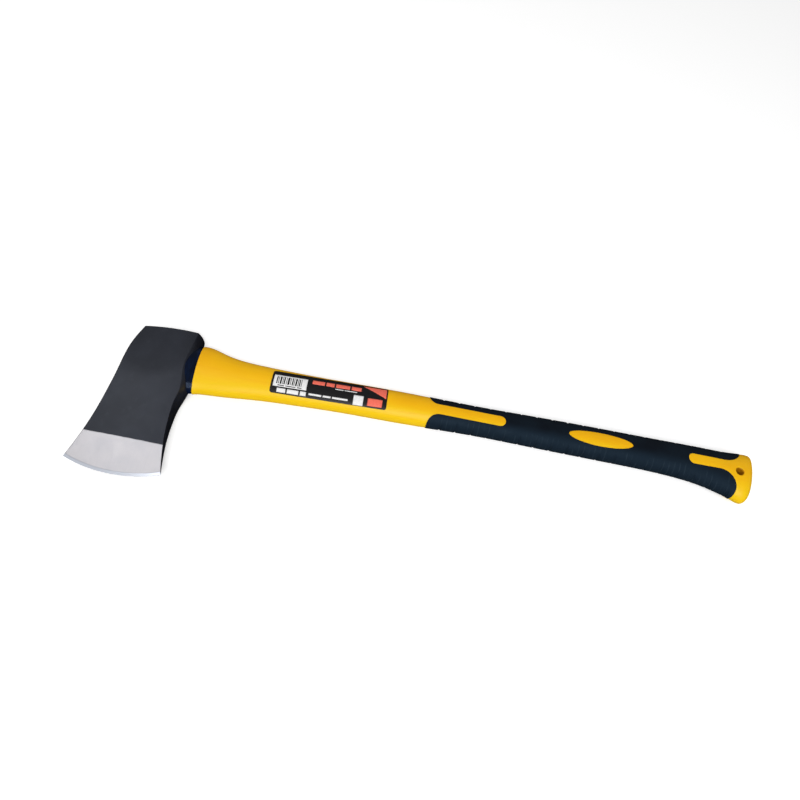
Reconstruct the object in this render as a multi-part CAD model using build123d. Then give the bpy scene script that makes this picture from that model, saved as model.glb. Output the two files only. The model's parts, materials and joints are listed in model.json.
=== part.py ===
from build123d import *
import os
from math import hypot

# Axe with a forged head and a fibreglass-cored handle, in millimetres.
# The axe lies flat on its side. +X runs along the handle from head to butt, -Y points to
# the cutting edge and +Y to the poll, and +Z is up, out of one broad side.
# The origin is on the lower cheek of the head, straight under the centre of the eye.

# Head
HEAD_THICKNESS = 29.0            # over the two flat cheeks
MID = HEAD_THICKNESS / 2         # height of the middle plane of the axe
EYE_Y = -6.0                     # the handle sits a little nearer the edge than the poll
EDGE_RADIUS = 150.0              # curve of the cutting edge, seen from the side
EDGE_CENTRE = (-4.0, 12.7)       # centre of that curve
FLAT_RADIUS = 47.0               # the cheeks are flat inside this radius, and taper outside
BEVEL_WIDTH = 3.0                # sharpened strip along the cutting edge
BEVEL_START = 1.4                # half thickness where that strip begins
EDGE_LAND = 0.1                  # half thickness of the edge itself
CHEEK_BLEND = 200.0              # soft turn from the flat cheek into the taper
RIM_ROUND = 0.9                  # broken edges along both sides of the cheeks
POLL_ROUND = 1.0

# Sides of the head, in equal steps from just beyond the poll to just beyond the edge. For
# the top side and then the handle side: where the flat cheek ends, and how far the side
# bulges past it at the middle plane. The bulge of the handle side is the boss of the eye.
SIDES_FROM = 40.0
SIDES_STEP = 18.0
HEAD_SIDES = [
    (-22.4, 2.5, 36.0, 3.4),
    (-27.2, 2.8, 32.9, 5.6),
    (-31.7, 3.0, 31.1, 7.1),
    (-33.1, 3.0, 31.2, 8.0),
    (-33.5, 3.0, 33.4, 7.1),
    (-35.0, 2.4, 33.3, 2.1),
    (-37.7, 1.4, 33.8, 0.5),
    (-41.4, 0.8, 35.2, 0.5),
    (-46.1, 0.5, 38.1, 0.5),
    (-51.9, 0.4, 42.3, 0.4),
    (-58.6, 0.3, 51.8, 0.3),
]
POLL_TOP = (20.0, 34.0)          # highest point of the slightly crowned poll
POLL_RADIUS = 245.0

# Eye, and what fills it
EYE_AT_HANDLE = (28.0, 10.2)     # half height and half width of the oval eye
EYE_AT_TOP = (30.0, 11.0)        # it widens upward, so the set resin cannot pull out
TONGUE = (23.5, 7.5)             # half sizes of the handle's oval tongue inside the eye
TONGUE_END = -34.0
TONGUE_ROOT = 52.0               # inside the neck, which it is one piece with
RESIN_TOP = -33.2                # the resin stands just below the top of the head
COLLAR_START = 32.0
COLLAR = (29.8, 13.6)            # half sizes of the oval seal collar, where it meets the head
COLLAR_STEP = 0.7                # the collar sits this far inside the jacket's edge

# Glass-fibre core, a straight pultruded rod
CORE = (12.0, 5.5)
CORE_Y = -2.0
CORE_END = 622.0

# Handle outline. Back is the edge on the poll's side and belly the edge on the side of the
# cutting edge. The neck and the butt are cut at a slant, so their ovals lean: each has its
# back corner, its belly corner and its half depth.
NECK = ((41.8, 24.9), (45.4, -34.5), 12.7)
# The ovals between stand upright: place along the handle, back, belly, half depth
HANDLE = [
    (54.0, 24.1, -32.7, 12.6),
    (68.0, 20.0, -31.6, 12.4),
    (87.0, 16.4, -29.8, 12.2),
    (112.0, 15.0, -27.0, 12.0),
    (152.0, 14.5, -24.2, 12.0),
    (205.0, 15.1, -21.8, 12.2),
    (275.0, 16.3, -20.5, 12.6),
    (345.0, 15.8, -17.9, 12.6),
    (420.0, 17.3, -18.0, 12.8),
    (500.0, 18.4, -18.4, 13.0),
    (560.0, 18.8, -19.4, 13.2),
    (592.0, 19.2, -21.9, 13.5),
    (614.0, 19.3, -26.0, 13.7),
    (632.0, 19.4, -31.4, 13.9),
]
# The last ovals shrink towards a small flat, which rounds the butt off
BUTT = [
    ((649.0, 20.7), (641.0, -35.7), 13.9),
    ((657.2, 21.4), (648.2, -37.5), 13.5),
    ((661.8, 21.0), (653.4, -33.5), 11.3),
    ((663.7, 19.5), (656.2, -28.6), 8.5),
    ((664.2, 17.5), (657.2, -25.0), 6.0),
]

# Rubber grip
GRIP_PROUD = 0.5                 # it stands this far above the plastic
GRIP_DEPTH = 2.0                 # and reaches this far below the plastic's surface
GRIP_START = 299.2
SLOT_BACK = 5.0                  # back and belly sides of the long plastic windows
SLOT_BELLY = -7.2
FRONT_SLOT_END = 384.2
FRONT_SHOULDERS = (9.6, 13.2)    # corner radii of the grip's front, back and belly
OVAL_WINDOW_X = 489.6
OVAL_WINDOW = (35.6, 8.2)
REAR_SLOT_START = 586.8
BELLY_PAD_TURN = 620.5           # where each side of the rear slot starts to swing outward
BACK_PAD_TURN = 627.5
BACK_PAD_END = (650.6, 21.0)     # where the grip's two pads end on the butt
BELLY_PAD_END = (638.5, -25.0)
BELLY_PAD_SIDE = (637.2, -32.0)
BELLY_PAD_FOOT = (631.0, -41.0)
GROOVES = 19
GROOVE_PITCH = 17.5
FIRST_GROOVE = 315.0
GROOVE_WIDTH = 5.0
GROOVE_DEPTH = 1.2
GROOVE_FADE = 0.5                # the grooves run out towards the broad sides

# Hang hole
HANG_HOLE = (643.0, -6.0)
HANG_HOLE_RADIUS = 4.0
HANG_HOLE_ROUND = 1.5

# Label
LABEL_CENTRE = (189.5, -3.0)
LABEL_SIZE = (127.0, 27.0)
LABEL_TURN = 2.2                 # degrees
LABEL_CORNER = 2.5
LABEL_THICKNESS = 0.25

REACH = 60.0                     # long enough to pass right through the axe
LIFT = 0.1                       # the sides of the head are drawn this far past its cheeks
SPARE = 0.5                      # lets a cutting shape stand clear of what it cuts
NEAR = 0.05                      # points closer than this count as touching
LONG_EDGE = 20.0                 # the rims of the cheeks are longer than this
ALONG = 0.6                      # share of an edge's direction that counts as along an axis


def oval(back, belly, half_depth, grow=0.0):
    """An oval cross-section of the handle between two points of its outline."""
    run = (back[0] - belly[0], back[1] - belly[1])
    half_height = hypot(*run) / 2
    centre = ((back[0] + belly[0]) / 2, (back[1] + belly[1]) / 2, MID)
    plane = Plane(origin=centre, x_dir=(run[0], run[1], 0), z_dir=(run[1], -run[0], 0))
    return plane * Ellipse(half_height + grow, half_depth + grow)


def cross_oval(x, half_sizes, y=EYE_Y):
    """An upright oval across the handle at one place."""
    half_height, half_depth = half_sizes
    return oval((x, y + half_height), (x, y - half_height), half_depth)


def handle_body(grow=0.0):
    """The whole handle from neck to butt, or the same shape grown by a constant."""
    upright = [((x, back), (x, belly), depth) for x, back, belly, depth in HANDLE]
    return loft([oval(*station, grow) for station in [NECK] + upright + BUTT])


def through(sketch):
    """A flat outline stretched right through the axe along Z."""
    return extrude(Pos(0, 0, MID - REACH) * sketch, REACH * 2)


def head_sides():
    """The head seen along its length: crowned sides, not yet tapered to the edge."""
    sections = []
    low, high = -LIFT, HEAD_THICKNESS + LIFT
    for step, (top, top_bulge, under, under_bulge) in enumerate(HEAD_SIDES):
        y = SIDES_FROM - step * SIDES_STEP
        under_crown = (under + under_bulge, y, MID)
        top_crown = (top - top_bulge, y, MID)
        under_arc = ThreePointArc((under, y, low), under_crown, (under, y, high))
        top_arc = ThreePointArc((top, y, high), top_crown, (top, y, low))
        outline = [under_arc, Line(under_arc @ 1, top_arc @ 0), top_arc]
        outline.append(Line(top_arc @ 1, under_arc @ 0))
        sections.append(make_face(outline))
    return loft(sections)


def blade_taper():
    """Flat cheeks that taper to the curved edge, as a body turned about the edge's centre."""
    bevel_radius = EDGE_RADIUS - BEVEL_WIDTH
    corners = [(0, 0), (EDGE_RADIUS, 0), (EDGE_RADIUS, EDGE_LAND)]
    corners += [(bevel_radius, BEVEL_START), (FLAT_RADIUS, MID), (0, MID)]
    profile = Plane.XZ * make_face(Polyline(*corners, close=True))
    turn = profile.vertices().sort_by_distance(Vector(FLAT_RADIUS, 0, MID))[0]
    profile = fillet(turn, CHEEK_BLEND)
    upper = revolve(profile, Axis.Z)
    lens = upper + mirror(upper, Plane.XY)
    return Pos(EDGE_CENTRE[0], EDGE_CENTRE[1], MID) * lens


def poll_limit():
    """Everything on the edge side of the crowned poll."""
    return through(Pos(POLL_TOP[0], POLL_TOP[1] - POLL_RADIUS) * Circle(POLL_RADIUS))


def is_cheek_rim(edge):
    """True for the long edges where a flat cheek meets a side of the head."""
    off_cheek = abs(abs((edge @ 0.5).Z - MID) - HEAD_THICKNESS / 2)
    runs_along = abs((edge % 0.5).Y) > ALONG
    return edge.length > LONG_EDGE and runs_along and off_cheek < NEAR


def head_blank():
    """The head before its eye is opened."""
    blank = head_sides() & blade_taper() & poll_limit()
    blank = fillet(blank.edges().filter_by(is_cheek_rim), RIM_ROUND)
    poll = blank.faces().sort_by(Axis.Y)[-1]
    return fillet(poll.edges(), POLL_ROUND)


def eye():
    """The oval hole, wider at the top of the head."""
    return loft([cross_oval(-REACH, EYE_AT_TOP), cross_oval(REACH, EYE_AT_HANDLE)])


def tongue():
    """The end of the handle that sits in the eye."""
    return loft([cross_oval(TONGUE_END, TONGUE), cross_oval(TONGUE_ROOT, TONGUE)])


def core():
    """The glass-fibre rod, from the top of the eye to just short of the hang hole."""
    return loft([cross_oval(TONGUE_END, CORE, CORE_Y), cross_oval(CORE_END, CORE, CORE_Y)])


def axe_head(blank):
    return blank - eye()


def eye_resin(blank):
    """Resin between the tongue and the eye."""
    span = Pos((RESIN_TOP + REACH) / 2, 0, 0) * Box(REACH - RESIN_TOP, REACH * 2, REACH * 2)
    return (blank & eye() & span) - tongue()


def eye_seal_collar(blank):
    """The dark band that closes the gap between the head and the jacket."""
    band = loft([cross_oval(COLLAR_START, COLLAR), oval(*NECK, -COLLAR_STEP)])
    return band - blank - tongue()


def front_opening():
    """Plastic ahead of the grip, and the long slot that runs back from it."""
    back_radius, belly_radius = FRONT_SHOULDERS
    neck = Pos(GRIP_START - REACH / 2, 0) * Rectangle(REACH, REACH * 2)
    length = FRONT_SLOT_END - GRIP_START + REACH / 2
    middle = (SLOT_BACK + SLOT_BELLY) / 2
    height = SLOT_BACK - SLOT_BELLY
    slot = Pos(FRONT_SLOT_END - length / 2, middle) * SlotOverall(length, height)
    opening = neck + slot
    for y, radius in ((SLOT_BACK, back_radius), (SLOT_BELLY, belly_radius)):
        corner = Vector(GRIP_START, y)
        opening = fillet(opening.vertices().sort_by_distance(corner)[0], radius)
    return opening


def rear_opening():
    """The rear slot, which widens into the butt."""
    nose = (SLOT_BACK - SLOT_BELLY) / 2
    start = REAR_SLOT_START + nose
    middle = (SLOT_BACK + SLOT_BELLY) / 2
    tip = ThreePointArc((start, SLOT_BACK), (REAR_SLOT_START, middle), (start, SLOT_BELLY))
    belly = Line((start, SLOT_BELLY), (BELLY_PAD_TURN, SLOT_BELLY))
    belly_turn = TangentArc(belly @ 1, BELLY_PAD_END, tangent=(1, 0))
    belly_out = ThreePointArc(belly_turn @ 1, BELLY_PAD_SIDE, BELLY_PAD_FOOT)
    back = Line((start, SLOT_BACK), (BACK_PAD_TURN, SLOT_BACK))
    back_turn = TangentArc(back @ 1, BACK_PAD_END, tangent=(1, 0))
    beyond = BACK_PAD_END[0] + REACH
    far = Polyline((BACK_PAD_END[0], REACH), (beyond, REACH), (beyond, -REACH),
                   (BELLY_PAD_FOOT[0], -REACH))
    ends = Line(back_turn @ 1, far @ 0) + Line(far @ 1, belly_out @ 1)
    return make_face(tip + belly + belly_turn + belly_out + ends + far + back_turn + back)


def grip_zone():
    """The part of the handle that rubber covers, through its whole depth."""
    end = BUTT[1][0][0]
    cover = Pos((GRIP_START + end) / 2, 0) * Rectangle(end - GRIP_START, REACH * 2)
    window = Pos(OVAL_WINDOW_X, 0) * Ellipse(*OVAL_WINDOW)
    return through(cover - front_opening() - rear_opening() - window)


def outline_at(x):
    """Back edge, belly edge and half depth of the handle at one place."""
    for before, after in zip(HANDLE, HANDLE[1:]):
        if before[0] <= x <= after[0]:
            share = (x - before[0]) / (after[0] - before[0])
            return [low + share * (high - low) for low, high in zip(before[1:], after[1:])]


def groove(x):
    """A shallow V across back and belly that dies out towards the broad sides."""
    back, belly, depth = outline_at(x)
    ring = Pos(x, 0, MID) * Box(GROOVE_WIDTH, REACH * 2, REACH * 2)
    ovals = []
    for shift, sink in ((-1, -SPARE), (0, GROOVE_DEPTH), (1, -SPARE)):
        place = x + shift * GROOVE_WIDTH / 2
        top = (place, back + GRIP_PROUD - sink)
        bottom = (place, belly - GRIP_PROUD + sink)
        ovals.append(oval(top, bottom, depth + GRIP_PROUD + GROOVE_FADE))
    return ring - loft(ovals, ruled=True)


def grip_overmould(zone, pocket):
    grooves = [groove(FIRST_GROOVE + number * GROOVE_PITCH) for number in range(GROOVES)]
    return (handle_body(GRIP_PROUD) & zone) - pocket - grooves


def hang_hole():
    return Pos(HANG_HOLE[0], HANG_HOLE[1], MID) * Cylinder(HANG_HOLE_RADIUS, REACH)


def is_hole_rim(edge):
    """True for the two round edges of the hang hole."""
    point = edge @ 0.5
    from_axis = hypot(point.X - HANG_HOLE[0], point.Y - HANG_HOLE[1])
    return edge.geom_type != GeomType.LINE and abs(from_axis - HANG_HOLE_RADIUS) < NEAR


def handle_jacket(body, zone, pocket):
    """Yellow plastic: neck, windows and butt in one moulding, with its tongue."""
    plastic = body - hang_hole()
    rims = plastic.edges().filter_by(is_hole_rim)
    plastic = fillet(rims, HANG_HOLE_ROUND) - (zone - pocket)
    return plastic + tongue() - core()


def handle_label(body):
    """A thin sticker that follows the curve of the upper side."""
    outline = Pos(*LABEL_CENTRE) * Rot(0, 0, LABEL_TURN) * RectangleRounded(
        *LABEL_SIZE, LABEL_CORNER)
    above = extrude(Pos(0, 0, MID) * outline, REACH)
    return (handle_body(LABEL_THICKNESS) & above) - body


def build():
    blank = head_blank()
    body = handle_body()
    pocket = handle_body(-GRIP_DEPTH)
    zone = grip_zone()
    return {
        "axe_head": axe_head(blank),
        "eye_resin": eye_resin(blank),
        "eye_seal_collar": eye_seal_collar(blank),
        "fibreglass_core": core(),
        "handle_jacket": handle_jacket(body, zone, pocket),
        "grip_overmould": grip_overmould(zone, pocket),
        "handle_label": handle_label(body),
    }


os.makedirs("parts", exist_ok=True)
for node, solid in build().items():
    export_step(solid, f"parts/{node}.step")
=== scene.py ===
import json
import math

import bmesh
import bpy
from mathutils import Matrix, Vector
from mathutils.bvhtree import BVHTree


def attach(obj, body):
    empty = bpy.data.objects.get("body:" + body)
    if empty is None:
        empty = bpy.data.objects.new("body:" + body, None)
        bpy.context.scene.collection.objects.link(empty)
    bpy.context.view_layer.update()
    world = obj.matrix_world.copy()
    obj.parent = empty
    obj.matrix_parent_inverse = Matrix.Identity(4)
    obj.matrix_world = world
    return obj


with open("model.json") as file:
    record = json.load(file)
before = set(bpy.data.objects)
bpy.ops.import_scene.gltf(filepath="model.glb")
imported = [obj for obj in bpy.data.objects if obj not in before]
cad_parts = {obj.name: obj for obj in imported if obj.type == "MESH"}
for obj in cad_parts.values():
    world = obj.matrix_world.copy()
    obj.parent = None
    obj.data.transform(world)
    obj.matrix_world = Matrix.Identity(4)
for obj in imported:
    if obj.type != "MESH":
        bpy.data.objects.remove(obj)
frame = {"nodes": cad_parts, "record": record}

# Looks of the axe: materials, the printed label, a studio and the camera. Everything is in
# metres in the row frame: +X from head to butt, -Y towards the edge, +Z up.

MM = 0.001

# Head
PAINT_LINE_Y = -99.0 * MM        # the paint stops here, and ground steel runs on to the edge
PAINT_WANDER = 0.9 * MM          # how far the paint line strays
PAINT_FADE = 0.2 * MM
PAINT_SHADE = 1.2 * MM           # width of the dull strip of steel next to the paint
EDGE_CENTRE = (-4.0 * MM, 12.7 * MM)
BEVEL_FROM = 147.0 * MM          # distance from the edge's centre where the bevel begins
BEVEL_FADE = (-0.2 * MM, 0.3 * MM)
BEVEL_LINE = 0.9 * MM            # width of the dull line where the bevel begins
CHEEK_SLOPE = (0.55, 0.75)       # upright part of the surface's direction, from side to cheek

# Handle
MIDDLE_Z = 14.5 * MM             # height of the middle plane, where moulded pieces part
# Painted light on the handle: the slope over which it fades from the belly side to the back
PAINTED_LIGHT_SLOPE = (-0.45, 0.05)      # Y part of the surface's direction, from belly to back
HOLE_SHADE = (0.1 * MM, 1.2 * MM)

# Fine ribs moulded across the belly side of the grip
FIRST_RIB = 315.0 * MM
GROOVE_PITCH = 17.5 * MM
RIBS_TO_A_GROOVE = 3
RIB_PITCH = GROOVE_PITCH / RIBS_TO_A_GROOVE
RIB_EDGES = (0.2 * MM, 0.9 * MM)
RIBS_BELOW_Y = (-12.0 * MM, -8.0 * MM)

# Printed label. Points are along and across the label, in millimetres from its centre.
LABEL_CENTRE = (189.5, -3.0)
LABEL_TURN = math.radians(2.2)
PRINT_THICKNESS = 0.04 * MM
PRINT_LIFT = 0.02 * MM
PRINT_STEP = 1.5                 # longest side of a print cell, so that it follows the curve
MERGE = 1e-7
ABOVE = 0.2                      # start of the rays that find the label's surface

# Printed panels: left, bottom, right and top
CODE_PANEL = (-61.2, -6.2, -24.8, 8.0)
WHITE_PANEL = (27.0, -13.0, 37.8, -2.4)
CORAL_PANEL = (42.6, -12.0, 58.6, -3.6)
CORAL_CORNER = [(35.5, 11.6), (62.0, 11.8), (62.0, -1.6)]

# Lines of print as plain bars: left end, height of the middle, height, widths and gap
CORAL_TITLE = (-19.5, 5.6, 5.2, (13.5, 9.0, 15.5, 11.0), 1.6)
WHITE_TITLE = (-56.0, -10.0, 4.4, (9.5, 12.5, 6.5), 1.6)
WHITE_LINE = (-21.5, -9.4, 2.0, (14.0, 8.5, 17.0), 1.6)
WHITE_NOTE = (6.0, 1.0, 1.0, (9.0, 14.0), 1.0)
BLACK_NOTE = (-56.0, -4.7, 1.0, (7.0, 11.0, 5.0), 1.5)

# Made-up bar pattern: left end, bottom, top, and the widths of bars and gaps in turn
BARCODE = (-58.0, -3.0, 6.2, (1.2, 0.8, 0.7, 1.1, 1.8, 0.9, 0.7, 0.7, 1.4, 1.2, 0.7, 0.9, 2.0, 0.8,
                              0.7, 1.2, 1.3, 0.7, 0.7, 1.0, 1.7, 0.9, 0.8, 0.7, 1.2, 0.9, 0.7))

# Colours, as linear red, green and blue. A pair is the darkest and lightest of a mottle.
PAINT = ((0.0095, 0.0105, 0.0150), (0.0135, 0.0150, 0.0215))
PAINT_DUST = (0.028, 0.031, 0.040)
PAINT_GLINT = (0.82, 0.88, 1.0)
STEEL = ((0.53, 0.515, 0.54), (0.655, 0.64, 0.665))
STEEL_SMUDGE = (0.50, 0.50, 0.54)
STEEL_BEVEL = (0.56, 0.59, 0.66)
STEEL_BEVEL_LINE = (0.34, 0.35, 0.40)
STEEL_BY_PAINT = (0.22, 0.22, 0.24)
STEEL_GLINT = (1.0, 1.0, 1.0)
YELLOW = ((0.880, 0.440, 0.000), (0.930, 0.505, 0.001))
# Painted light: the yellow where the surface faces the belly side
YELLOW_PAINTED_BELLY_LIGHT = (0.880, 0.560, 0.000)
YELLOW_FLOW = (0.84, 0.38, 0.000)
YELLOW_SEAM = (0.62, 0.25, 0.003)
# Painted shade: the yellow inside the hang hole
YELLOW_HOLE_PAINTED_SHADE = (0.40, 0.150, 0.003)
RUBBER = ((0.0035, 0.0048, 0.0078), (0.0050, 0.0085, 0.0135))
RUBBER_DUST = (0.010, 0.016, 0.022)
# Painted light: the rubber where the surface faces the belly side
RUBBER_PAINTED_BELLY_LIGHT = (0.0068, 0.0140, 0.0235)
# Painted highlight: the rubber along the fine ribs
RUBBER_RIB_PAINTED_HIGHLIGHT = (0.030, 0.048, 0.066)
RUBBER_GLINT = (0.50, 0.72, 1.0)
RUBBER_SHEEN = (0.35, 0.60, 0.85)
COLLAR = ((0.0020, 0.0035, 0.0100), (0.0030, 0.0075, 0.0260))
COLLAR_GLINT = (0.45, 0.62, 1.0)
RESIN = ((0.012, 0.012, 0.014), (0.030, 0.030, 0.035))
# Painted shade: inside the pinholes in the resin
RESIN_PIT_PAINTED_SHADE = (0.004, 0.004, 0.004)
GLASS_FIBRE = ((0.46, 0.38, 0.17), (0.78, 0.72, 0.50))
FLOOR = ((0.86, 0.86, 0.86), (0.90, 0.90, 0.90))
FLOOR_GLOW = (1.0, 1.0, 1.0)
INKS = {
    "label_black": ((0.0035, 0.0035, 0.004), (0.006, 0.006, 0.007)),
    "label_coral": ((0.84, 0.145, 0.095), (0.92, 0.175, 0.12)),
    "label_white": ((0.78, 0.78, 0.78), (0.88, 0.88, 0.88)),
}

# Camera
TILT = math.radians(27.79)
SWING = math.radians(-0.37)
ROLL = math.radians(11.065)
CAMERA_AT = (0.24860, -0.29768, 0.57931)
SENSOR = 36.0
FOCAL = 26.0
SHIFT = (0.0176, 0.0037)

# Studio. A light has its place, the point it faces, its two sides and its power in watts.
FLOOR_HALF = 12.0
FLOOR_Z = -0.2 * MM
FLOOR_GLOW_STRENGTH = 0.40       # only the camera sees it, so it lights nothing
KEY_LIGHT = ((0.45, -1.15, 1.60), (0.32, -0.02, 0.0), (1.4, 1.0), 28.0)
SOFT_BOX = ((-0.60, 0.22, 1.30), (-0.60, 0.22, 0.0), (0.8, 0.7), 3.2)
SKY = (0.82, 0.82, 0.82, 1.0)
SKY_STRENGTH = 0.46              # reached at SKY_RISE, from nothing at the horizon
SKY_RISE = 0.35


class Graph:
    """A procedural material, built node by node round one Principled shader."""

    def __init__(self, name):
        self.material = bpy.data.materials.new(name)
        self.material.use_nodes = True
        self.tree = self.material.node_tree
        self.tree.nodes.clear()
        self.shader = self.add("ShaderNodeBsdfPrincipled")
        output = self.add("ShaderNodeOutputMaterial")
        self.link(self.shader.outputs["BSDF"], output.inputs["Surface"])
        self.place = self.add("ShaderNodeTexCoord").outputs["Object"]

    def add(self, kind, **settings):
        node = self.tree.nodes.new(kind)
        for key, value in settings.items():
            setattr(node, key, value)
        return node

    def link(self, source, target):
        self.tree.links.new(source, target)

    def feed(self, target, value):
        """Gives an input either a plain value or another node's output."""
        if isinstance(value, bpy.types.NodeSocket):
            self.link(value, target)
        elif isinstance(value, tuple) and len(value) == 3 and len(target.default_value) == 4:
            target.default_value = (*value, 1.0)
        else:
            target.default_value = value

    def set(self, **inputs):
        """Sets inputs of the shader, with underscores for the spaces in their names."""
        for key, value in inputs.items():
            self.feed(self.shader.inputs[key.replace("_", " ")], value)

    def calc(self, operation, a, b=0.0, c=0.0):
        node = self.add("ShaderNodeMath", operation=operation)
        for socket, value in zip(node.inputs, (a, b, c)):
            self.feed(socket, value)
        return node.outputs[0]

    def distance(self, x, y, centre):
        """Distance from an upright axis through centre."""
        dx = self.calc("SUBTRACT", x, centre[0])
        dy = self.calc("SUBTRACT", y, centre[1])
        return self.calc("SQRT", self.calc("ADD", self.calc("MULTIPLY", dx, dx),
                                           self.calc("MULTIPLY", dy, dy)))

    def split(self, vector):
        node = self.add("ShaderNodeSeparateXYZ")
        self.link(vector, node.inputs[0])
        return node.outputs

    def stretched(self, x, y, z):
        node = self.add("ShaderNodeMapping")
        self.link(self.place, node.inputs["Vector"])
        node.inputs["Scale"].default_value = (x, y, z)
        return node.outputs[0]

    def noise(self, scale, detail=3.0, roughness=0.5, where=None):
        """Mottle with about scale grains to the metre."""
        node = self.add("ShaderNodeTexNoise")
        self.link(where or self.place, node.inputs["Vector"])
        node.inputs["Scale"].default_value = scale
        node.inputs["Detail"].default_value = detail
        node.inputs["Roughness"].default_value = roughness
        return node.outputs["Fac"]

    def ramp(self, value, span, onto=(0.0, 1.0)):
        """Maps a span of a value smoothly onto another span, and holds it there outside."""
        node = self.add("ShaderNodeMapRange", interpolation_type="SMOOTHSTEP")
        for socket, setting in zip(node.inputs, (value, *span, *onto)):
            self.feed(socket, setting)
        return node.outputs[0]

    def near(self, value, centre, width, most):
        """The share most where a value is at the centre, fading to 0 a width away from it."""
        off = self.calc("ABSOLUTE", self.calc("SUBTRACT", value, centre))
        return self.ramp(off, (0.0, width), (most, 0.0))

    def blend(self, share, a, b):
        """Colour a where share is 0 and colour b where it is 1."""
        node = self.add("ShaderNodeMix", data_type="RGBA")
        for index, value in ((0, share), (6, a), (7, b)):
            self.feed(node.inputs[index], value)
        return node.outputs[2]

    def choose(self, share, a, b):
        """Number a where share is 0 and number b where it is 1."""
        node = self.add("ShaderNodeMix", data_type="FLOAT")
        for index, value in ((0, share), (2, a), (3, b)):
            self.feed(node.inputs[index], value)
        return node.outputs[0]

    def bump(self, height, depth, strength=1.0, after=None):
        """Relief of a given depth in metres, on top of any relief before it."""
        node = self.add("ShaderNodeBump")
        node.inputs["Strength"].default_value = strength
        node.inputs["Distance"].default_value = depth
        self.link(height, node.inputs["Height"])
        if after is not None:
            self.link(after, node.inputs["Normal"])
        return node.outputs[0]

    def soft_edges(self, radius):
        node = self.add("ShaderNodeBevel", samples=4)
        node.inputs["Radius"].default_value = radius
        return node.outputs[0]

    def painted_belly_light(self):
        """Mask for painted light: 0 on the back of the handle, rising to 1 where it faces the
        cutting edge's side.
        """
        facing = self.split(self.add("ShaderNodeNewGeometry").outputs["Normal"])[1]
        return self.ramp(facing, PAINTED_LIGHT_SLOPE, (1.0, 0.0))

    def parting_line(self, half_width):
        """1 on the fine line round the middle plane where the mould closed, else 0."""
        height = self.split(self.place)[2]
        off = self.calc("ABSOLUTE", self.calc("SUBTRACT", height, MIDDLE_Z))
        return self.ramp(off, (half_width / 2, half_width), (1.0, 0.0))


def head_paint(g):
    """Slate paint, cloudy, with a little dust."""
    paint = g.blend(g.ramp(g.noise(26.0, detail=4.0), (0.35, 0.65)), *PAINT)
    dust = g.ramp(g.noise(150.0, detail=2.0, roughness=0.6), (0.50, 0.90), (0.0, 0.25))
    return g.blend(dust, paint, PAINT_DUST)


def head_steel(g, y, reach, bevel, grind):
    """Ground steel with smudges, a bluish bevel and dull lines by the bevel and the paint."""
    smudge = g.ramp(g.noise(38.0, detail=5.0, roughness=0.6), (0.35, 0.7))
    steel = g.blend(grind, *STEEL)
    steel = g.blend(g.calc("MULTIPLY", smudge, 0.5), steel, STEEL_SMUDGE)
    steel = g.blend(bevel, steel, STEEL_BEVEL)
    steel = g.blend(g.near(reach, BEVEL_FROM, BEVEL_LINE, 0.4), steel, STEEL_BEVEL_LINE)
    return g.blend(g.near(y, PAINT_LINE_Y, PAINT_SHADE, 0.35), steel, STEEL_BY_PAINT)


def head_material():
    """Satin slate paint down to a straight line, then ground steel with a bevelled edge."""
    g = Graph("forged_head")
    x, y, _ = g.split(g.place)
    facing = g.split(g.add("ShaderNodeNewGeometry").outputs["True Normal"])[2]
    cheek = g.ramp(g.calc("ABSOLUTE", facing), CHEEK_SLOPE)
    wander = g.calc("MULTIPLY", g.calc("SUBTRACT", g.noise(140.0), 0.5), PAINT_WANDER)
    line = (PAINT_LINE_Y - PAINT_FADE, PAINT_LINE_Y + PAINT_FADE)
    below = g.ramp(g.calc("ADD", y, wander), line, (1.0, 0.0))
    bare = g.calc("MULTIPLY", below, cheek)
    reach = g.distance(x, y, EDGE_CENTRE)
    start = [BEVEL_FROM + fade for fade in BEVEL_FADE]
    bevel = g.calc("MULTIPLY", g.ramp(reach, start), bare)
    grind = g.noise(1.0, roughness=0.6, where=g.stretched(1700.0, 45.0, 200.0))
    brushed = g.calc("MULTIPLY", grind, g.calc("SUBTRACT", 1.0, bevel))

    paint_gloss = g.ramp(g.noise(60.0, detail=1.0), (-0.2, 1.2), (0.25, 0.36))
    steel_gloss = g.ramp(brushed, (0.3, 0.7), (0.34, 0.48))
    relief = g.bump(g.noise(320.0, detail=1.0), 0.05 * MM, strength=0.15)
    relief = g.bump(g.calc("MULTIPLY", brushed, bare), 0.03 * MM, strength=0.5, after=relief)
    metal = g.calc("SUBTRACT", g.calc("MULTIPLY", bare, 0.9), g.calc("MULTIPLY", bevel, 0.6))
    g.set(Base_Color=g.blend(bare, head_paint(g), head_steel(g, y, reach, bevel, grind)),
          Roughness=g.choose(bare, paint_gloss, steel_gloss), Metallic=metal, Normal=relief,
          Specular_IOR_Level=0.34, Specular_Tint=g.blend(bare, PAINT_GLINT, STEEL_GLINT))
    return g.material


def hole_shade(g, x, y):
    """Mask for painted shade: 1 in the hang hole, fading to 0 just outside its rim."""
    hole = next(m for m in frame["record"]["mounts"] if m["name"] == "hang_hole")
    radius = hole["dims"]["r_mm"] * MM
    rim = [radius + fade for fade in HOLE_SHADE]
    return g.ramp(g.distance(x, y, hole["pos_m"]), rim, (0.85, 0.0))


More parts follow.
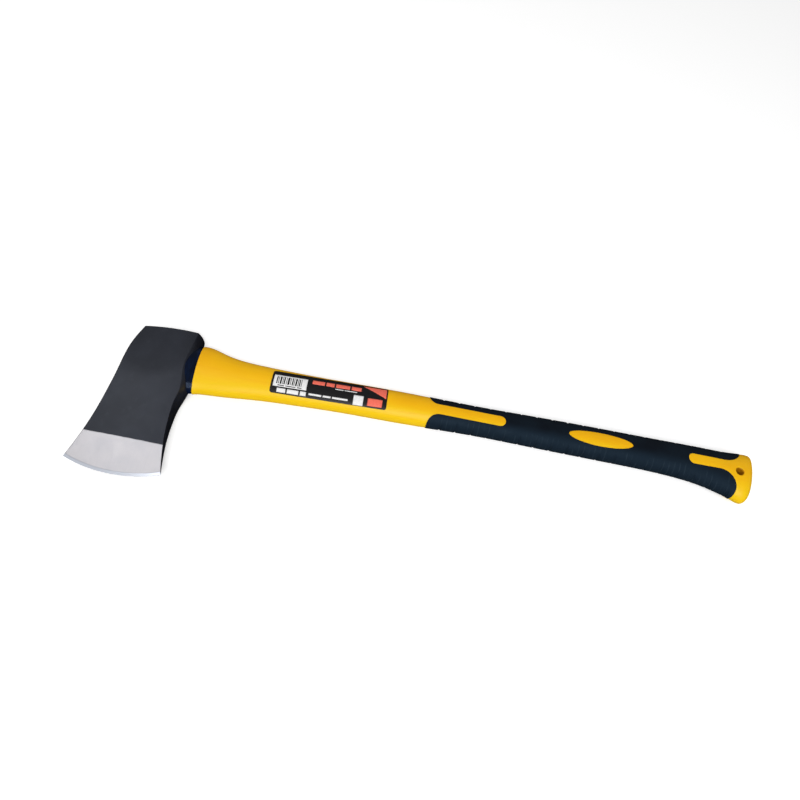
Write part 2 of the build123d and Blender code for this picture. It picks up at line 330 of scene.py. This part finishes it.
def yellow_material():
    """Moulded polypropylene with a fine sandy skin, slight sinks and a parting line. Lighter where
    it faces the belly side, as painted light, and darker in the hang hole, as painted shade.
    """
    g = Graph("yellow_plastic")
    x, y, _ = g.split(g.place)
    colour = g.blend(g.ramp(g.noise(14.0, detail=4.0), (0.3, 0.7)), *YELLOW)
    # Painted light: lighter, more lemon yellow where the surface faces the belly side
    colour = g.blend(g.painted_belly_light(), colour, YELLOW_PAINTED_BELLY_LIGHT)
    flow = g.noise(1.0, roughness=0.6, where=g.stretched(18.0, 260.0, 260.0))
    colour = g.blend(g.ramp(flow, (0.45, 0.8), (0.0, 0.25)), colour, YELLOW_FLOW)
    seam = g.calc("MULTIPLY", g.parting_line(0.35 * MM), 0.35)
    colour = g.blend(seam, colour, YELLOW_SEAM)
    # Painted shade: darker brown in the hang hole
    colour = g.blend(hole_shade(g, x, y), colour, YELLOW_HOLE_PAINTED_SHADE)
    sand = g.noise(2600.0, detail=2.0)
    sinks = g.noise(55.0, detail=2.0)
    relief = g.bump(sinks, 0.25 * MM, strength=0.12, after=g.soft_edges(0.4 * MM))
    relief = g.bump(sand, 0.04 * MM, strength=0.25, after=relief)
    relief = g.bump(g.parting_line(0.25 * MM), 0.15 * MM, strength=0.6, after=relief)
    g.set(Base_Color=colour, Roughness=g.ramp(sand, (0.3, 0.7), (0.34, 0.46)), Normal=relief,
          Specular_IOR_Level=0.24, Subsurface_Weight=0.04, Subsurface_Scale=1.5 * MM,
          Subsurface_Radius=(1.0, 0.5, 0.1))
    return g.material


def fine_ribs(g):
    """1 along each fine rib on the belly side of the grip, broken here and there."""
    x, y, _ = g.split(g.place)
    off_rib = g.calc("PINGPONG", g.calc("SUBTRACT", x, FIRST_RIB), RIB_PITCH / 2)
    rib = g.ramp(off_rib, RIB_EDGES, (1.0, 0.0))
    belly = g.ramp(y, RIBS_BELOW_Y, (1.0, 0.0))
    patches = g.noise(1.0, detail=2.0, where=g.stretched(120.0, 60.0, 60.0))
    broken = g.ramp(patches, (0.40, 0.62))
    return g.calc("MULTIPLY", g.calc("MULTIPLY", rib, belly), broken)


def rubber_material():
    """Soft black rubber with a blue cast, fine ribs, a fine matt grain and a faint sheen. Lighter
    and bluer where it faces the belly side, as painted light, with a painted highlight along the
    fine ribs.
    """
    g = Graph("soft_rubber")
    cloudy = g.noise(45.0, detail=4.0)
    colour = g.blend(g.ramp(cloudy, (0.3, 0.7)), *RUBBER)
    dusty = g.ramp(g.noise(420.0, detail=4.0, roughness=0.7), (0.62, 0.78), (0.0, 0.35))
    colour = g.blend(dusty, colour, RUBBER_DUST)
    # Painted light: lighter and bluer where the surface faces the belly side
    colour = g.blend(g.painted_belly_light(), colour, RUBBER_PAINTED_BELLY_LIGHT)
    rib = fine_ribs(g)
    # Painted highlight: lighter blue along the fine ribs
    colour = g.blend(g.calc("MULTIPLY", rib, 0.3), colour, RUBBER_RIB_PAINTED_HIGHLIGHT)
    waves = g.noise(240.0)
    grain = g.noise(3200.0, detail=2.0)
    relief = g.bump(waves, 0.12 * MM, strength=0.25, after=g.soft_edges(0.35 * MM))
    relief = g.bump(rib, 0.25 * MM, strength=0.6, after=relief)
    relief = g.bump(grain, 0.06 * MM, strength=0.4, after=relief)
    relief = g.bump(g.parting_line(0.25 * MM), 0.15 * MM, strength=0.6, after=relief)
    g.set(Base_Color=colour, Roughness=g.ramp(cloudy, (0.3, 0.7), (0.50, 0.62)), Normal=relief,
          Specular_IOR_Level=0.11, Specular_Tint=RUBBER_GLINT, Sheen_Weight=0.012,
          Sheen_Roughness=0.5, Sheen_Tint=RUBBER_SHEEN)
    return g.material


def collar_material():
    """Glossy black cast resin with a wavy skin."""
    g = Graph("dark_collar")
    waves = g.noise(1.0, detail=2.0, where=g.stretched(260.0, 90.0, 90.0))
    g.set(Base_Color=g.blend(g.ramp(waves, (0.35, 0.7)), *COLLAR),
          Roughness=g.ramp(g.noise(400.0), (0.3, 0.7), (0.10, 0.22)),
          Normal=g.bump(waves, 0.5 * MM, strength=0.35), Specular_IOR_Level=0.15,
          Specular_Tint=COLLAR_GLINT, Coat_Weight=0.02, Coat_Roughness=0.12)
    return g.material


def resin_material():
    """Cast resin in the eye, dark, with pinholes left by air. The pinholes are coloured near black
    as painted shade.
    """
    g = Graph("cast_resin")
    holes = g.add("ShaderNodeTexVoronoi")
    g.link(g.place, holes.inputs["Vector"])
    holes.inputs["Scale"].default_value = 330.0
    pits = g.ramp(holes.outputs["Distance"], (0.10, 0.22))
    colour = g.blend(g.noise(80.0, detail=4.0), *RESIN)
    # Painted shade: near black in the pinholes
    g.set(Base_Color=g.blend(pits, RESIN_PIT_PAINTED_SHADE, colour), Normal=g.bump(pits, 0.4 * MM, strength=0.6),
          Roughness=g.ramp(g.noise(200.0), (0.3, 0.7), (0.18, 0.34)))
    return g.material


def core_material():
    """Pultruded glass fibre: pale strands along the rod in straw-coloured resin."""
    g = Graph("glass_fibre")
    strands = g.noise(1.0, detail=4.0, roughness=0.65, where=g.stretched(25.0, 1500.0, 1500.0))
    g.set(Base_Color=g.blend(g.ramp(strands, (0.3, 0.7)), *GLASS_FIBRE),
          Roughness=g.ramp(strands, (0.3, 0.7), (0.35, 0.6)),
          Normal=g.bump(strands, 0.1 * MM, strength=0.5))
    return g.material


def film_material(name):
    """Printed plastic film: ink of nearly one colour with slight mottling and handling marks."""
    g = Graph(name)
    mottle = g.noise(700.0, roughness=0.6)
    marks = g.noise(1.0, roughness=0.7, where=g.stretched(90.0, 1400.0, 90.0))
    g.set(Base_Color=g.blend(g.ramp(mottle, (0.3, 0.7)), *INKS[name]),
          Roughness=g.ramp(marks, (0.4, 0.75), (0.32, 0.50)), Specular_IOR_Level=0.25,
          Normal=g.bump(g.noise(70.0, detail=2.0), 0.15 * MM, strength=0.15))
    return g.material


def floor_material():
    """Pale studio card with a hardly visible grain, which looks brighter to the camera."""
    g = Graph("studio_floor")
    grain = g.noise(260.0)
    seen = g.add("ShaderNodeLightPath").outputs["Is Camera Ray"]
    g.set(Base_Color=g.blend(grain, *FLOOR), Roughness=0.9, Specular_IOR_Level=0.1,
          Emission_Color=FLOOR_GLOW, Emission_Strength=g.calc("MULTIPLY", seen, FLOOR_GLOW_STRENGTH),
          Normal=g.bump(grain, 0.1 * MM, strength=0.1))
    return g.material


def surface_finder(node):
    """A function that gives the height of a CAD node's upper surface at any (x, y)."""
    mesh = bmesh.new()
    mesh.from_mesh(frame["nodes"][node].data)
    tree = BVHTree.FromBMesh(mesh)
    mesh.free()

    def height(x, y):
        hit = tree.ray_cast(Vector((x, y, ABOVE)), Vector((0, 0, -1)))[0]
        return None if hit is None else hit.z

    return height


def box_corners(left, bottom, right, top):
    return [(left, bottom), (right, bottom), (right, top), (left, top)]


def text_block(left, middle, height, widths, gap):
    """A line of plain bars, standing in for a line of print."""
    blocks = []
    for width in widths:
        blocks.append(box_corners(left, middle - height / 2, left + width, middle + height / 2))
        left += width + gap
    return blocks


def barcode(left, bottom, top, widths):
    """Upright bars with gaps between them, as the widths alternate."""
    bars = []
    for number, width in enumerate(widths):
        if number % 2 == 0:
            bars.append(box_corners(left, bottom, left + width, top))
        left += width
    return bars


def label_print():
    """The printed areas as (material name, layer, corner lists), in label millimetres."""
    coral = [CORAL_CORNER, box_corners(*CORAL_PANEL), *text_block(*CORAL_TITLE)]
    white = [box_corners(*CODE_PANEL), box_corners(*WHITE_PANEL)]
    for line in (WHITE_TITLE, WHITE_LINE, WHITE_NOTE):
        white += text_block(*line)
    black = barcode(*BARCODE) + text_block(*BLACK_NOTE)
    return [("label_coral", 1, coral), ("label_white", 1, white), ("label_black", 2, black)]


def add_print(mesh, corners, layer, slot, height):
    """One printed area, with four corners or three, as a patch of small cells on the label."""
    quad = corners if len(corners) == 4 else corners + corners[-1:]
    a, b, c, d = (Vector(p) for p in quad)
    across = max(1, math.ceil(max((b - a).length, (c - d).length) / PRINT_STEP))
    up = max(1, math.ceil(max((d - a).length, (c - b).length) / PRINT_STEP))
    turn = Matrix.Rotation(LABEL_TURN, 2)
    rows = []
    for j in range(up + 1):
        row = []
        for i in range(across + 1):
            s, t = i / across, j / up
            flat = turn @ (a.lerp(b, s)).lerp(d.lerp(c, s), t)
            x, y = (LABEL_CENTRE[0] + flat.x) * MM, (LABEL_CENTRE[1] + flat.y) * MM
            row.append(mesh.verts.new((x, y, height(x, y) + layer * PRINT_LIFT)))
        rows.append(row)
    for low, high in zip(rows, rows[1:]):
        for i in range(across):
            face = mesh.faces.new((low[i], low[i + 1], high[i + 1], high[i]))
            face.material_index = slot
            face.smooth = True


def make_label_print(materials):
    height = surface_finder("handle_label")
    mesh = bmesh.new()
    for slot, (_, layer, areas) in enumerate(label_print()):
        for corners in areas:
            add_print(mesh, corners, layer, slot, height)
    bmesh.ops.remove_doubles(mesh, verts=mesh.verts, dist=MERGE)
    data = bpy.data.meshes.new("label_print")
    mesh.to_mesh(data)
    mesh.free()
    piece = bpy.data.objects.new("label_print", data)
    bpy.context.scene.collection.objects.link(piece)
    for name, _, _ in label_print():
        data.materials.append(materials[name])
    thick = piece.modifiers.new("ink", "SOLIDIFY")
    thick.thickness = PRINT_THICKNESS
    thick.offset = 0.0
    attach(piece, "root")
    return piece


def dress(node, material):
    """Gives a CAD node its material."""
    data = frame["nodes"][node].data
    data.materials.clear()
    data.materials.append(material)


def make_floor():
    """A wide flat card just under the axe, kept out of reflections."""
    data = bpy.data.meshes.new("floor")
    corners = [(-FLOOR_HALF, -FLOOR_HALF), (FLOOR_HALF, -FLOOR_HALF),
               (FLOOR_HALF, FLOOR_HALF), (-FLOOR_HALF, FLOOR_HALF)]
    data.from_pydata([(x, y, FLOOR_Z) for x, y in corners], [], [(0, 1, 2, 3)])
    data.materials.append(floor_material())
    floor = bpy.data.objects.new("floor", data)
    bpy.context.scene.collection.objects.link(floor)
    floor.visible_glossy = False


def make_light(name, at, towards, size, power):
    """A rectangular soft light that faces a point."""
    data = bpy.data.lights.new(name, "AREA")
    data.shape = "RECTANGLE"
    data.size, data.size_y = size
    data.energy = power
    light = bpy.data.objects.new(name, data)
    light.location = at
    light.rotation_euler = (Vector(towards) - Vector(at)).to_track_quat("-Z", "Y").to_euler()
    bpy.context.scene.collection.objects.link(light)


def make_sky():
    """A sky that gives light only above the horizon, but looks pale all over to the camera."""
    world = bpy.data.worlds.new("studio")
    world.use_nodes = True
    tree = world.node_tree
    sky = tree.nodes["Background"]
    sky.inputs["Color"].default_value = SKY
    direction = tree.nodes.new("ShaderNodeTexCoord").outputs["Generated"]
    split = tree.nodes.new("ShaderNodeSeparateXYZ")
    level = tree.nodes.new("ShaderNodeMapRange")
    level.inputs["From Max"].default_value = SKY_RISE
    level.inputs["To Max"].default_value = SKY_STRENGTH
    seen = tree.nodes.new("ShaderNodeLightPath").outputs["Is Camera Ray"]
    brighter = tree.nodes.new("ShaderNodeMath")
    brighter.operation = "MAXIMUM"
    tree.links.new(direction, split.inputs[0])
    tree.links.new(split.outputs["Z"], level.inputs["Value"])
    tree.links.new(level.outputs[0], brighter.inputs[0])
    tree.links.new(seen, brighter.inputs[1])
    tree.links.new(brighter.outputs[0], sky.inputs["Strength"])
    bpy.context.scene.world = world


def make_studio():
    """Soft key light from the front, a soft box behind the head, the floor and the sky."""
    make_floor()
    make_light("key", *KEY_LIGHT)
    make_light("soft_box", *SOFT_BOX)
    make_sky()
    bpy.context.scene.view_settings.view_transform = "Standard"


def make_camera():
    """Looks down at the axe from the cutting edge's side."""
    back = Vector((math.sin(SWING) * math.cos(TILT), -math.sin(TILT),
                   math.cos(SWING) * math.cos(TILT)))
    level = (Vector((1, 0, 0)) - back * back.x).normalized()
    right = level * math.cos(ROLL) + back.cross(level) * math.sin(ROLL)
    data = bpy.data.cameras.new("camera")
    data.sensor_width = SENSOR
    data.lens = FOCAL
    data.shift_x, data.shift_y = SHIFT
    camera = bpy.data.objects.new("camera", data)
    axes = Matrix((right, back.cross(right), back)).transposed().to_4x4()
    camera.matrix_world = Matrix.Translation(CAMERA_AT) @ axes
    bpy.context.scene.collection.objects.link(camera)
    bpy.context.scene.camera = camera


def main():
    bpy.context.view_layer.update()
    film = {name: film_material(name) for name in INKS}
    dress("axe_head", head_material())
    dress("eye_resin", resin_material())
    dress("eye_seal_collar", collar_material())
    dress("fibreglass_core", core_material())
    dress("handle_jacket", yellow_material())
    dress("grip_overmould", rubber_material())
    dress("handle_label", film["label_black"])
    make_label_print(film)
    make_studio()
    make_camera()


main()
